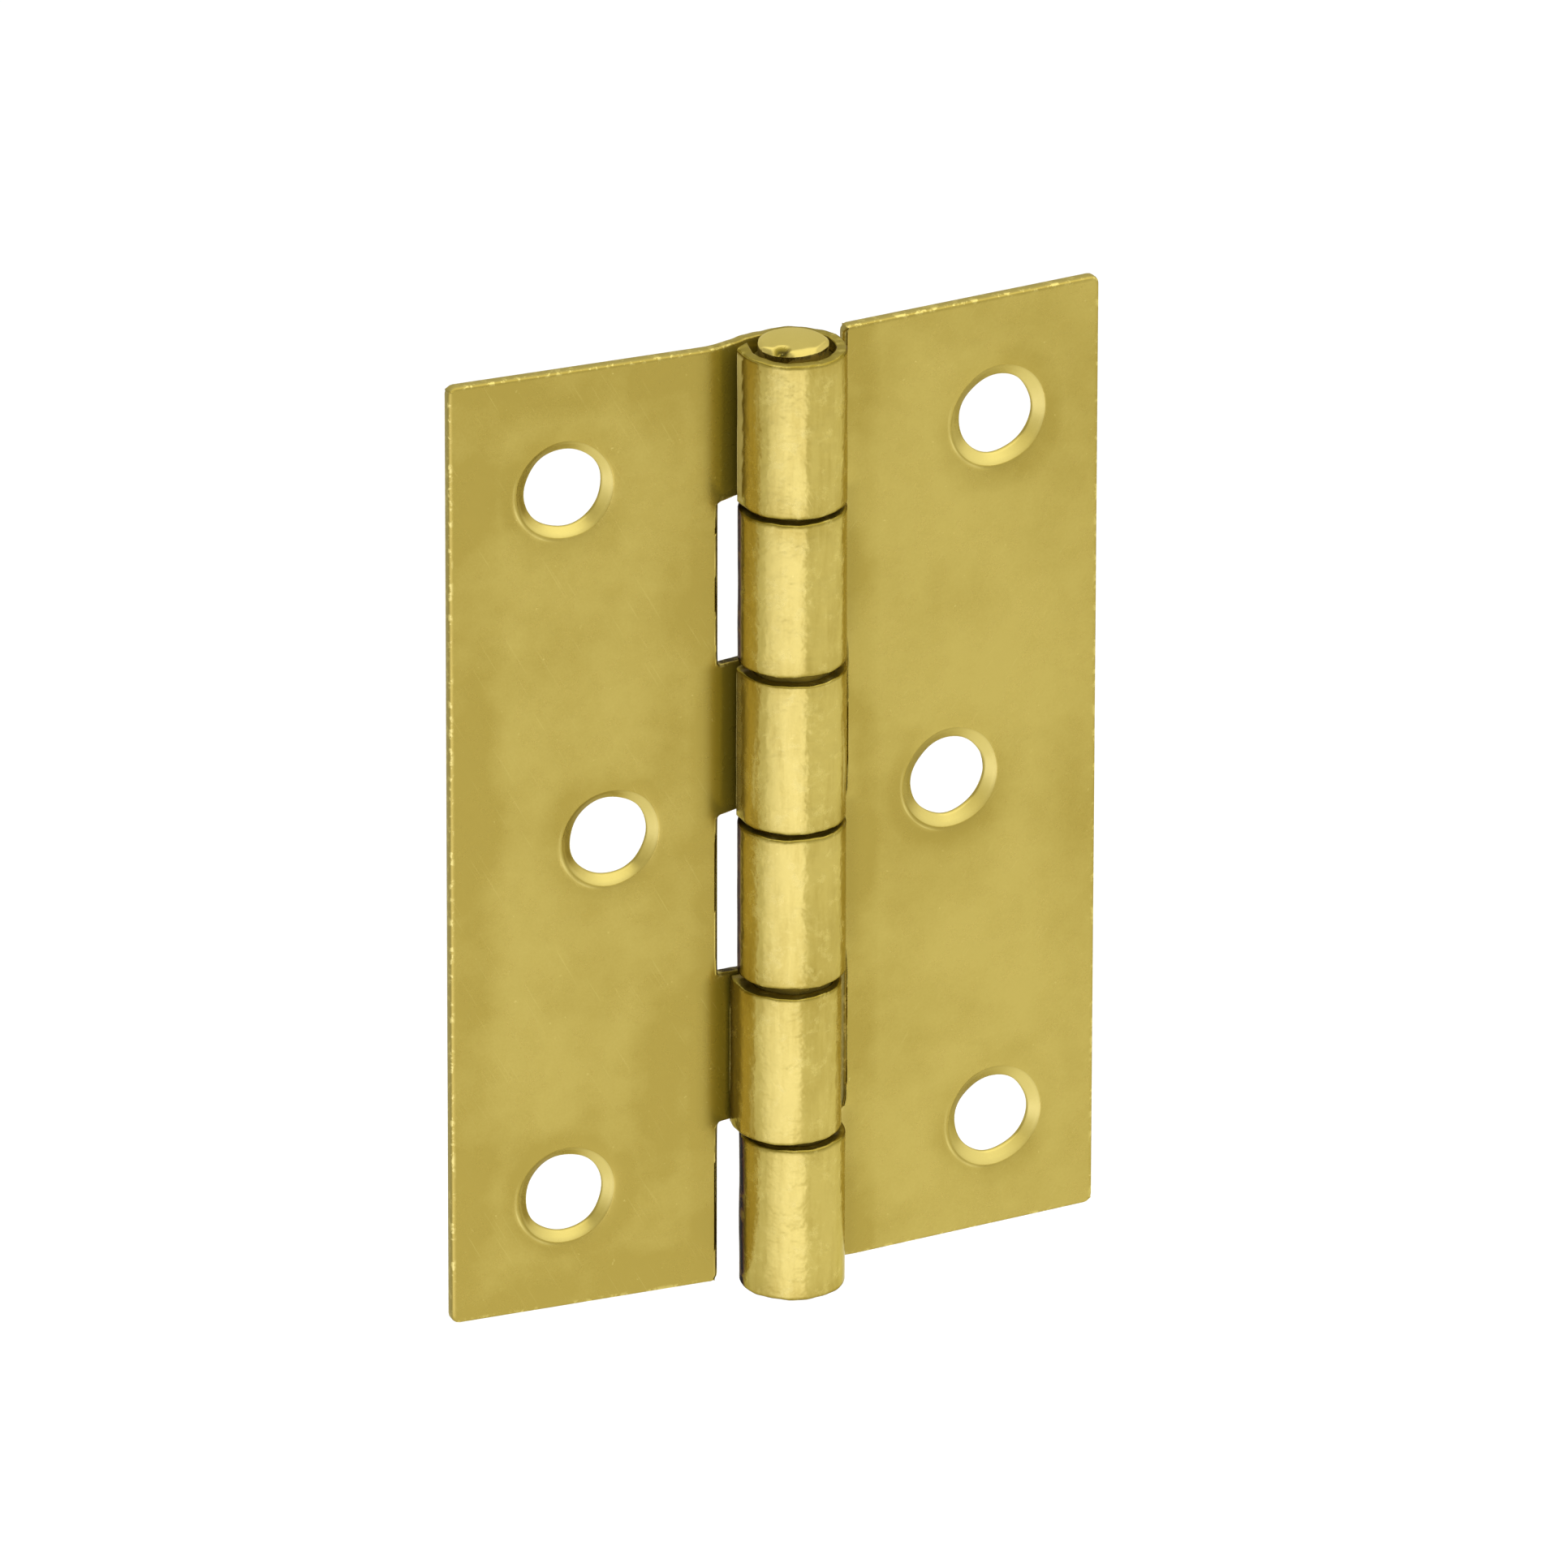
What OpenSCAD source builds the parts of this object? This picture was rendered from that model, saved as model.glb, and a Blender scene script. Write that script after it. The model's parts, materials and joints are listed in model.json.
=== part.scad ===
// Butt hinge pressed from sheet metal. Two leaves are cranked back and curled into knuckles,
// which interleave round one pin. The origin is on the fixed leaf's mounting face, midway
// between its two outer screw holes. +Y points into the surface that the leaf is screwed to.

/* [Leaves] */
// Height of the leaves and of the barrel
leaf_h = 70; // [64:1:90]
// Distance from the pin axis to a leaf's outer edge
leaf_reach = 24.6; // [23:0.1:32]
// Thickness of the sheet
sheet_t = 0.8; // [0.7:0.05:0.9]
// Radius of the leaf's corners
corner_r = 0.6; // [0.2:0.1:2]
// Distance from the pin axis to the inner edge of a leaf, between its knuckles
notch_x = 4.9; // [4.6:0.1:5.5]

/* [Barrel] */
// Outside diameter of the knuckles
barrel_d = 7.4; // [7:0.1:8]
// Knuckles on the whole barrel, shared evenly by the two leaves
knuckles = 6; // [2:2:8]
// End play between neighbouring knuckles
knuckle_gap = 0.56; // [0.3:0.02:1]
// Distance that the pin axis stands in front of the middle of the sheet
axis_offset = 1.88; // [1.6:0.02:2.1]

/* [Bends] */
// Slope of the crank that takes the sheet back behind the pin
crank_slope = 20; // [17:1:24]
// Mid-sheet radius of the bend from the flat leaf into the crank
crank_r = 5; // [3:0.5:6]
// Mid-sheet radius of the slack bend between the crank and the knuckle
ease_r = 10; // [8:0.5:12]
// Slope at which the slack bend runs into the round of the knuckle
ease_slope = 4.5; // [3:0.5:8]
// Turn of the knuckle's round part
curl_turn = 283; // [275:1:285]
// Length of the straight tip at the end of the curl
tip_len = 1.35; // [0.6:0.05:1.4]

/* [Screw holes] */
// Diameter of the hole at the back of the leaf
hole_d = 5.7; // [5.4:0.1:6]
// Diameter of the countersink's mouth
csk_d = 6.9; // [6.2:0.1:7]
// Height between the two outer holes
hole_pitch = 52.8; // [46:0.2:54]
// Height of the fixed leaf's middle hole above the middle of the leaf
fixed_row_z = -0.18; // [-1:0.02:1]
// Height of the swing leaf's middle hole above the middle of the leaf
swing_row_z = -0.34; // [-1:0.02:1]
// Distance from the pin axis to the fixed leaf's outer holes
fixed_outer_x = 16.1; // [15:0.1:18]
// Distance from the pin axis to the fixed leaf's middle hole
fixed_middle_x = 12.8; // [11:0.1:18]
// Distance from the pin axis to the swing leaf's outer holes
swing_outer_x = 16.8; // [15:0.1:18]
// Distance from the pin axis to the swing leaf's middle hole
swing_middle_x = 13.2; // [11:0.1:18]

/* [Pin] */
// Clearance between the pin and a knuckle, on the radius
pin_clearance = 0.05; // [0.02:0.01:0.1]
// Interference of the pin in the fixed leaf's end knuckle, on the radius
pin_grip = 0.02; // [0.01:0.01:0.03]
// Height of the crowned head above the barrel
crown_h = 0.5; // [0.2:0.1:1]
// Depth of the pin's lower end inside the barrel
pin_recess = 0.4; // [0:0.1:2]
// Chamfer round the pin's lower end
pin_chamfer = 0.5; // [0.2:0.1:1]

/* [Pose] */
// Angle of the swing leaf past flat, away from the barrel
rest_angle = 6.6; // [-60:0.1:60]

/* [Hidden] */
$fn = 128;

curl_r = (barrel_d - sheet_t) / 2;
// Depth that the reamer takes off the inside of the curl
ream = 0.01;
bore_r = barrel_d / 2 - sheet_t + ream;
pin_r = bore_r - pin_clearance;
back_y = axis_offset + sheet_t / 2;
front_y = axis_offset - sheet_t / 2;

// Depth that each bend takes up, from the top of the knuckle down to the flat leaf
curl_drop = curl_r * (1 - cos(ease_slope));
ease_drop = ease_r * (cos(ease_slope) - cos(crank_slope));
crank_drop = crank_r * (1 - cos(crank_slope));
slope_drop = curl_r - axis_offset - curl_drop - ease_drop - crank_drop;
slope_len = slope_drop / sin(crank_slope);

// Length along X from the pin axis to the start of the crank
crank_x = curl_r * sin(ease_slope) + ease_r * (sin(crank_slope) - sin(ease_slope))
    + slope_len * cos(crank_slope) + crank_r * sin(crank_slope);

knuckle_pitch = (leaf_h + knuckle_gap) / knuckles;
knuckle_h = knuckle_pitch - knuckle_gap;
csk_depth = (csk_d - hole_d) / 2;
crown_r = (pin_r * pin_r + crown_h * crown_h) / (2 * crown_h);
arc_step = 5;
cut = 1;
through = 3 * barrel_d;

brass = [0.72, 0.64, 0.34];
pin_brass = [0.78, 0.69, 0.40];

// The sheet is bent along a path in plan, a list of [x, y, heading]. Each stretch continues from
// the point that it is given.
function ahead(p, length) = [p[0] + length * cos(p[2]), p[1] + length * sin(p[2]), p[2]];
function bend(p, r, turn) =
    let(steps = ceil(abs(turn) / arc_step), side = sign(turn) * r)
    [for (i = [1 : steps])
        let(heading = p[2] + turn * i / steps)
        [
            p[0] + side * (sin(heading) - sin(p[2])),
            p[1] - side * (cos(heading) - cos(p[2])),
            heading
        ]
    ];
function last(points) = points[len(points) - 1];
function beside(p, distance) = [p[0] - distance * sin(p[2]), p[1] + distance * cos(p[2])];

// From the leaf's outer edge through the crank and round the pin to the tip of the curl
function sheet_path() =
    let(
        edge = [-leaf_reach, axis_offset, 0],
        flat_end = ahead(edge, leaf_reach - crank_x),
        crank = bend(flat_end, crank_r, crank_slope),
        slope_end = ahead(last(crank), slope_len),
        ease = bend(slope_end, ease_r, ease_slope - crank_slope),
        curl = bend(last(ease), curl_r, -curl_turn)
    )
    concat([edge, flat_end], crank, [slope_end], ease, curl, [ahead(last(curl), tip_len)]);

// The whole sheet after bending, before its outline is cut, with the knuckles' bore reamed
module bent_sheet() {
    path = sheet_path();
    back = [for (p = path) beside(p, sheet_t / 2)];
    front = [for (i = [len(path) - 1 : -1 : 0]) beside(path[i], -sheet_t / 2)];
    difference() {
        linear_extrude(leaf_h, center = true) polygon(concat(back, front));
        cylinder(r = bore_r, h = leaf_h + 2 * cut, center = true);
    }
}

module rounded_rectangle(size, r) {
    translate([r, 0]) square([size[0] - 2 * r, size[1]]);
    translate([0, r]) square([size[0], size[1] - 2 * r]);
    for (x = [r, size[0] - r], y = [r, size[1] - r])
        translate([x, y]) circle(r);
}

// Front view of the leaf: a plate, and a tongue for every second knuckle from the top
module leaf_outline() {
    translate([-leaf_reach, -leaf_h / 2])
        rounded_rectangle([leaf_reach - notch_x, leaf_h], corner_r);
    for (i = [0 : 2 : knuckles - 1])
        translate([-notch_x - 2 * corner_r, leaf_h / 2 - i * knuckle_pitch - knuckle_h])
            square([notch_x + 2 * corner_r + barrel_d, knuckle_h]);
}

// Screw hole seen from the back of the leaf, with its countersink in the front face
module screw_hole(x, z) {
    translate([-x, 0, z]) rotate([90, 0, 0]) {
        translate([0, 0, -back_y - cut]) cylinder(d = hole_d, h = sheet_t + 2 * cut);
        translate([0, 0, -front_y - csk_depth])
            cylinder(d1 = hole_d, d2 = csk_d, h = csk_depth);
        translate([0, 0, -front_y]) cylinder(d = csk_d, h = cut);
    }
}

// One leaf with the pin axis at the origin, spread along -X
module leaf(outer_x, middle_x, row_z) {
    difference() {
        intersection() {
            bent_sheet();
            rotate([90, 0, 0]) linear_extrude(through, center = true) leaf_outline();
        }
        screw_hole(outer_x, row_z + hole_pitch / 2);
        screw_hole(middle_x, row_z);
        screw_hole(outer_x, row_z - hole_pitch / 2);
    }
}

// Moves a piece made round the pin axis to its place in the part's frame
module on_pin_axis() {
    translate([fixed_outer_x, -back_y, -fixed_row_z]) children();
}

module fixed_leaf() {
    color(brass) on_pin_axis() leaf(fixed_outer_x, fixed_middle_x, fixed_row_z);
}

// The same pressing turned upside down, with its own hole tool
module swing_leaf() {
    color(brass) on_pin_axis() rotate([0, 0, rest_angle]) rotate([0, 180, 0])
        leaf(swing_outer_x, swing_middle_x, -swing_row_z);
}

// Plain pin with a crowned head. Its neck grips the top knuckle, and the rest runs free.
module hinge_pin() {
    foot_z = -leaf_h / 2 + pin_recess;
    neck_z = leaf_h / 2 - knuckle_h;
    color(pin_brass) on_pin_axis() {
        translate([0, 0, foot_z])
            cylinder(r1 = pin_r - pin_chamfer, r2 = pin_r, h = pin_chamfer);
        translate([0, 0, foot_z + pin_chamfer])
            cylinder(r = pin_r, h = neck_z - foot_z - pin_chamfer);
        translate([0, 0, neck_z]) cylinder(r = bore_r + pin_grip, h = knuckle_h - cut);
        translate([0, 0, leaf_h / 2 - cut]) intersection() {
            cylinder(r = pin_r, h = cut + crown_h);
            translate([0, 0, cut + crown_h - crown_r]) sphere(crown_r);
        }
    }
}

fixed_leaf();
swing_leaf();
hinge_pin();
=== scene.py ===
"""Looks of a pressed brass butt hinge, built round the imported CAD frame.

Each leaf starts as a flat blank: a grid with the knuckle tongues and the screw holes in it. The blank
gets its thickness, its worn arrises and its countersinks, and is then bent along the sheet's path round
the pin. Lengths are in millimetres until a mesh is made, and angles are in degrees.
"""

import json
import math
from types import SimpleNamespace

import bpy
import numpy as np
from mathutils import Matrix, Vector, noise


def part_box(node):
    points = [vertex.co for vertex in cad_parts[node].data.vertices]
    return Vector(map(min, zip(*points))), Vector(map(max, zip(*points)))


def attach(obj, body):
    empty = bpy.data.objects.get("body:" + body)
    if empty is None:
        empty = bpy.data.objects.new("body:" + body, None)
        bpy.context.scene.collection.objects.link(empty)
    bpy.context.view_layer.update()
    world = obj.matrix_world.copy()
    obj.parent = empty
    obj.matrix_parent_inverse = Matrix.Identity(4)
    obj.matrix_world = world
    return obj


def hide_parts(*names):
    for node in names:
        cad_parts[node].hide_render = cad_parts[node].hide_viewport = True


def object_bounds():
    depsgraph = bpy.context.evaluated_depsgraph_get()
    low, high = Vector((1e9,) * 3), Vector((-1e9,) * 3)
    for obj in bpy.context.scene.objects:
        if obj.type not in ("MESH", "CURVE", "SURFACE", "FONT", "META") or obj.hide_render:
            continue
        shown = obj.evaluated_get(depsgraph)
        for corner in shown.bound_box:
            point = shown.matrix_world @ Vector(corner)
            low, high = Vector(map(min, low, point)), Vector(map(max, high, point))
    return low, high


MM = 0.001

# Sheet and bends, as the CAD source has them
LEAF_REACH = 24.6
NOTCH_X = 4.9
SHEET_T = 0.8
BARREL_D = 7.4
CURL_R = (BARREL_D - SHEET_T) / 2
KNUCKLES = 6
KNUCKLE_GAP = 0.56
AXIS_OFFSET = 1.88
CRANK_R = 5
CRANK_SLOPE = 20
EASE_R = 10
EASE_SLOPE = 4.5
CURL_TURN = 283
TIP_LEN = 1.35

# End of the curl's tip, where the burr of the shear stands out as a lip on the outside
TIP_LIP = 0.14
LIP_START = -0.5
LIP_END = 0.49

# Corners of the blank in plan
PLATE_CORNER_R = 0.6
NOTCH_CORNER_R = 0.25

# Distance over which the bend at a tongue's root fades into the flat plate beside it
FLAT_REACH = 1.2

# Rounding of the sheared edges. The back of the sheet becomes the outside of the barrel.
FRONT_ARRIS = 0.2
BACK_ARRIS = 0.12
BORE_ARRIS = 0.1
KNUCKLE_ARRIS = 0.16
# Angles of the points between the flat and the sheared face of an arris
ARRIS_ANGLES = (30, 60, 90)
# Distance from the knuckles' edges to the grid line that holds their shape
HOLD = 0.3

# Countersunk holes, with the metal dished round their mouths
CSK_DEPTH = 0.52
CSK_STEPS = (0.2, 0.4, 0.6, 0.8, 0.94)
HOLE_ARRIS = 0.09
DIMPLE_DEPTH = 0.07
DIMPLE_REACH = 0.55
# Half the side of the square that the rings round a hole fill
PATCH = 5.1
# Rings round a hole. The front's are measured from the countersink's mouth, the back's from the axis.
FRONT_RINGS = (1.2, 0.85, 0.55, 0.36, 0.28, 0.2, 0.12, 0.05)
BACK_RINGS = (4.7, 4.2, 3.8, 3.5, 3.3, 3.15, 3.03, 2.95)
# Burr that the countersinking punch raised outside the mouth, along a part of its round
BURR_HEIGHT = 0.05
BURR_DISTANCE = 0.24
BURR_WIDTH = 0.07
BURR_SPREAD = 42
# Brightness of the painted highlight on the burr
BURR_HIGHLIGHT = 0.8
# Waves in the round of a hole, each with its count in a turn and its height
MOUTH_WAVES = ((2, 0.03), (3, 0.025), (5, 0.015))
WAIST_WAVES = ((2, 0.025), (4, 0.03), (7, 0.012))

# Height and size of the sheet's slow waves and of its ripples, which are higher where it is rolled
WAVINESS = 0.012
WAVINESS_SIZE = 9.0
RIPPLE = 0.004
ROLLED_RIPPLE = 0.03
RIPPLE_SIZE = 3.2
# Height of the slow and the fast waves in the knuckles' ends
END_WAVE = 0.03
END_RIPPLE = 0.015

# What sets one leaf apart from the other. The lists go from the leaf's own top knuckle down.
#   mouth_r     radius of the countersinks' mouths
#   seed        start of the leaf's noise
#   edge_darkening_and_crank_shade   share of the darker band along its edges and of the painted shade in its crank
#   burr        direction of the burrs round its holes
#   csk_shade     direction of the painted shade in its countersinks
#   csk_highlights  directions of the painted highlights in its countersinks
#   swells      how far each knuckle's side along the leaf's +X stands out
#   leans       how far the outside of each knuckle is off its bore, along the leaf's +X
#   notches     how far the plate's edge beside each knuckle of the other leaf stands back
#   side_shade    painted shade on that side, where the knuckle turns past the other leaf
#   slants      how far each curl's tip is sheared off short on its outside
#   lip_highlights  brightness of the painted highlight on each tip's burr
#   ends        how far each knuckle's low and high end are off even spacing, each as (root, curl)
FIXED_LOOK = {
    "mouth_r": 3.52,
    "seed": 1.0,
    "edge_darkening_and_crank_shade": 1.0,
    "burr": -150,
    "csk_shade": 135,
    "csk_highlights": (20, -105),
    "swells": (0, 0, 0),
    "leans": (0, 0, -0.3),
    "notches": (0, 0, 0),
    "side_shade": (0, 0, 0),
    "slants": (0.86, 0.75, 0.1),
    "lip_highlights": (0.9, 0.35, 0.0),
    "ends": (
        ((-0.3, -0.15), (0, 0)),
        ((-0.15, -0.1), (-0.08, -0.18)),
        ((0.23, 0.09), (0.29, -0.03)),
    ),
}
SWING_LOOK = {
    "mouth_r": 3.66,
    "seed": 4.0,
    "edge_darkening_and_crank_shade": 0.3,
    "burr": 30,
    "csk_shade": -45,
    "csk_highlights": (-160, 75),
    "swells": (-0.08, 0.13, 0.13),
    "leans": (0, 0, 0),
    "notches": (0, 0, -0.16),
    "side_shade": (2.8, 1.7, 1.7),
    "slants": (0.86, 0.6, 0.8),
    "lip_highlights": (0.9, 0.6, 0.7),
    "ends": (
        ((-0.21, -0.21), (0, 0)),
        ((-0.12, -0.12), (-0.06, -0.06)),
        ((-0.07, -0.07), (0.12, 0.12)),
    ),
}

# Reach of the ring of painted shade round a hole, and of the darker band along the leaf's edges
SHADE_HALO_REACH = 1.7
BORDER_REACH = (1.0, 6.5)
# Painted shade on the plate towards the crank: a faint wide band, and a strong narrow one
WIDE_CRANK_SHADE = 0.7
WIDE_REACH = (8, 2)
CRANK_SIDE_SHADE = 1.3
INNER_REACH = 2.5
# Painted shade on the knuckles towards their ends, beside the gaps
KNUCKLE_END_SHADE = 0.8
# Painted shade in the crank: where it starts and is full past the flat plate, and how far it runs up the
# curl
CRANK_SHADE_START = -0.4
CRANK_SHADE_FULL = 1.25
CRANK_SHADE_RUN = 3
# Painted shade on the barrel's arrises, and beside the lip of each curl's tip
ARRIS_SHADE = 0.8
LIP_SIDE_SHADE = 0.4
# Painted shade on a knuckle's side: degrees of turn past that side where it is strongest, and how fast it
# fades
SIDE_SHADE_TURN = 22
SIDE_SHADE_FALLOFF = 20
# Painted shade on the tongues' ends, beside the plate and in the gaps between the knuckles
ROOT_SHADE = 1.9
GAP_SHADE = 0.65
# Painted shade on one side of the countersinks
CSK_SHADE = 0.6
# Brightness of the painted highlights in the countersinks, and how far they spread in degrees
CSK_HIGHLIGHT = 0.55
CSK_HIGHLIGHT_SPREAD = 48

# Grid spacing on the flat, in the bends, and over the height
FLAT_STEP = 0.65
BEND_STEP = 0.29
HEIGHT_STEP = 0.65

# Shares of a corner's radius that an arc's points lie in from its two sides
ARC = [1 - math.cos(math.radians(angle)) for angle in (22.5, 45, 67.5)]


# ---------------------------------------------------------------- sheet path


def sin(angle):
    return math.sin(math.radians(angle))


def cos(angle):
    return math.cos(math.radians(angle))


def sheet_stretches():
    """(length, turn) of each stretch of the bent sheet, from its outer edge to the curl's tip."""
    curl_drop = CURL_R * (1 - cos(EASE_SLOPE))
    ease_drop = EASE_R * (cos(EASE_SLOPE) - cos(CRANK_SLOPE))
    crank_drop = CRANK_R * (1 - cos(CRANK_SLOPE))
    slope_drop = CURL_R - AXIS_OFFSET - curl_drop - ease_drop - crank_drop
    slope_len = slope_drop / sin(CRANK_SLOPE)
    crank_x = CURL_R * sin(EASE_SLOPE) + EASE_R * (sin(CRANK_SLOPE) - sin(EASE_SLOPE))
    crank_x += slope_len * cos(CRANK_SLOPE) + CRANK_R * sin(CRANK_SLOPE)
    ease_turn = CRANK_SLOPE - EASE_SLOPE
    return [
        (LEAF_REACH - crank_x, 0),
        (math.radians(CRANK_SLOPE) * CRANK_R, CRANK_SLOPE),
        (slope_len, 0),
        (math.radians(ease_turn) * EASE_R, -ease_turn),
        (math.radians(CURL_TURN) * CURL_R, -CURL_TURN),
        (TIP_LEN, 0),
    ]


STRETCHES = sheet_stretches()
STRETCH_ENDS = np.cumsum([length for length, turn in STRETCHES])
FLAT_END, SHEET_END = STRETCH_ENDS[0], STRETCH_ENDS[-1]
CURL_START, CURL_END = STRETCH_ENDS[3], STRETCH_ENDS[4]
NOTCH_S = LEAF_REACH - NOTCH_X


def along_sheet(s):
    """Mid-sheet x and y, and the heading in radians, at each distance s from the outer edge."""
    x = np.full_like(s, -LEAF_REACH)
    y = np.full_like(s, AXIS_OFFSET)
    heading = np.zeros_like(s)
    left = s.copy()
    for length, turn in STRETCHES:
        step = np.clip(left, 0, length)
        left -= step
        if turn:
            r = length / math.radians(turn)
            after = heading + step / r
            x += r * (np.sin(after) - np.sin(heading))
            y -= r * (np.cos(after) - np.cos(heading))
            heading = after
        else:
            x += step * np.cos(heading)
            y += step * np.sin(heading)
    return x, y, heading


# ---------------------------------------------------------------- flat blank


def grid_lines(breaks, step):
    """A line at every break, with even lines between them that are no further apart than step(a, b)."""
    breaks = sorted(set(np.round(breaks, 6)))
    lines = []
    for a, b in zip(breaks, breaks[1:]):
        parts = math.ceil((b - a) / step(a, b) - 0.01)
        lines += [a + (b - a) * k / parts for k in range(parts)]
    return np.array(lines + [breaks[-1]])


def sheet_step(a, b):
    """Grid spacing along the sheet between two breaks."""
    return FLAT_STEP if b <= FLAT_END + 0.01 else BEND_STEP


def nearest(lines, value):
    return int(np.argmin(np.abs(lines - value)))


class Blank:
    """The flat sheet: s runs from the leaf's outer edge to the curl's tip, z up, and h from the middle
    of the sheet towards its back. Front and back have the same grid."""

    def __init__(self, leaf_h, holes, look):
        self.half = leaf_h / 2
        self.holes = holes
        self.look = look
        pitch = (leaf_h + KNUCKLE_GAP) / KNUCKLES
        tops = [self.half - k * pitch for k in range(0, KNUCKLES, 2)]
        self.tongues = [(top - pitch + KNUCKLE_GAP, top) for top in tops]
        self.lay_grid()
        self.round_corners()
        self.faces = []
        self.fill_plate()
        self.loops = []
        self.front = self.layer()
        self.back = self.layer()
        for hole in holes:
            self.fill_patch(*hole)
        self.trim_rim()

    def lay_grid(self):
        s_breaks = [0, PLATE_CORNER_R * ARC[2], PLATE_CORNER_R, *STRETCH_ENDS, NOTCH_S]
        s_breaks += [NOTCH_S - HOLD, NOTCH_S - PLATE_CORNER_R]
        s_breaks += [NOTCH_S + NOTCH_CORNER_R * ARC[2], NOTCH_S + NOTCH_CORNER_R]
        s_breaks += [SHEET_END - HOLD]
        z_breaks = []
        for side in (-1, 1):
            z_breaks += [side * (self.half - d) for d in (0, PLATE_CORNER_R * ARC[2], PLATE_CORNER_R)]
        for low, high in self.tongues:
            for edge, inward in ((low, 1), (high, -1)):
                z_breaks += [edge, edge + inward * HOLD]
                if abs(edge) < self.half:
                    z_breaks += [edge - inward * NOTCH_CORNER_R * d for d in (ARC[2], 1)]
        for s, z, r in self.holes:
            s_breaks += [s - PATCH, s + PATCH]
            z_breaks += [z - PATCH, z + PATCH]
        self.s_lines = grid_lines(s_breaks, sheet_step)
        self.z_lines = grid_lines(z_breaks, lambda a, b: HEIGHT_STEP)
        self.s, self.z = np.meshgrid(self.s_lines, self.z_lines, indexing="ij")

    def round_corner(self, s, z, toward_s, toward_z, r):
        """Moves the five grid points at a square corner onto an arc whose centre lies the given way."""
        i, j = nearest(self.s_lines, s), nearest(self.z_lines, z)
        self.s[i, j] += toward_s * ARC[1] * r
        self.z[i, j] += toward_z * ARC[1] * r
        self.z[nearest(self.s_lines, s + toward_s * ARC[2] * r), j] += toward_z * ARC[0] * r
        self.s[i, nearest(self.z_lines, z + toward_z * ARC[2] * r)] += toward_s * ARC[0] * r

    def round_corners(self):
        self.round_corner(0, self.half, 1, -1, PLATE_CORNER_R)
        self.round_corner(0, -self.half, 1, 1, PLATE_CORNER_R)
        self.round_corner(NOTCH_S, -self.half, -1, 1, PLATE_CORNER_R)
        for low, high in self.tongues:
            self.round_corner(NOTCH_S, low, 1, -1, NOTCH_CORNER_R)
            if high < self.half:
                self.round_corner(NOTCH_S, high, 1, 1, NOTCH_CORNER_R)

    def is_metal(self, s, z):
        """Whether the outline holds the point, leaving out the patches round the holes."""
        in_tongue = any(low < z < high for low, high in self.tongues)
        in_patch = any(abs(s - hs) < PATCH and abs(z - hz) < PATCH for hs, hz, r in self.holes)
        return (s < NOTCH_S or in_tongue) and not in_patch

    def fill_plate(self):
        rows = len(self.z_lines)
        for i, (s0, s1) in enumerate(zip(self.s_lines, self.s_lines[1:])):
            for j, (z0, z1) in enumerate(zip(self.z_lines, self.z_lines[1:])):
                if self.is_metal((s0 + s1) / 2, (z0 + z1) / 2):
                    corner = i * rows + j
                    self.faces.append((corner, corner + rows, corner + rows + 1, corner + 1))

    def layer(self):
        """Growing list of [s, z, depth below the face, wear, coined] for one face of the sheet."""
        return [[s, z, 0, 0, 0] for s, z in zip(self.s.ravel(), self.z.ravel())]

    def patch_border(self, hs, hz):
        """Grid points round a hole's square patch, in order."""
        i0, i1 = nearest(self.s_lines, hs - PATCH), nearest(self.s_lines, hs + PATCH)
        j0, j1 = nearest(self.z_lines, hz - PATCH), nearest(self.z_lines, hz + PATCH)
        path = [(i, j0) for i in range(i0, i1)] + [(i1, j) for j in range(j0, j1)]
        path += [(i, j1) for i in range(i1, i0, -1)] + [(i0, j) for j in range(j1, j0, -1)]
        return [i * len(self.z_lines) + j for i, j in path]

    def fill_patch(self, hs, hz, hole_r):
        """Rings of quads from the square patch in to the mouth of one hole, on both faces."""
        ring = self.patch_border(hs, hz)
        angles = [math.atan2(self.front[v][1] - hz, self.front[v][0] - hs) for v in ring]
        square = [math.hypot(self.front[v][1] - hz, self.front[v][0] - hs) for v in ring]
        shape = Lobes(self.look["seed"] + hs + hz)
        mouth_rings = [self.look["mouth_r"] + away for away in FRONT_RINGS]
        for k in range(len(FRONT_RINGS) + 1):
            start = len(self.front)
            for a, reach in zip(angles, square):
                for layer, radii in ((self.front, mouth_rings), (self.back, BACK_RINGS)):
                    r = (reach + radii[0]) / 2 if k == 0 else radii[k - 1]
                    near = math.exp((radii[-1] - r) / DIMPLE_REACH)
                    burr = self.burr_share(a, r) if layer is self.front else 0
                    depth = DIMPLE_DEPTH * near - BURR_HEIGHT * burr if layer is self.front else 0
                    r += near * shape.mouth(a)
                    layer.append([hs + r * math.cos(a), hz + r * math.sin(a), depth, 0, 0])
            inner = list(range(start, len(self.front)))
            for n, vertex in enumerate(ring):
                after = (n + 1) % len(ring)
                self.faces.append((vertex, ring[after], inner[after], inner[n]))
            ring = inner
        wall = [self.hole_wall(hs, hz, hole_r, a, shape) for a in angles]
        self.loops.append((ring[::-1], wall[::-1]))

    def burr_share(self, a, r):
        """Share of the burr's height at one place on the front, from its direction and distance."""
        ragged = 0.75 + 0.25 * np.sin(9 * a + self.look["seed"])
        off = turn_from(self.look["burr"], a) / BURR_SPREAD
        away = (r - self.look["mouth_r"] - BURR_DISTANCE) / BURR_WIDTH
        return ragged * np.exp(-(off**4) - away**2)

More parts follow.
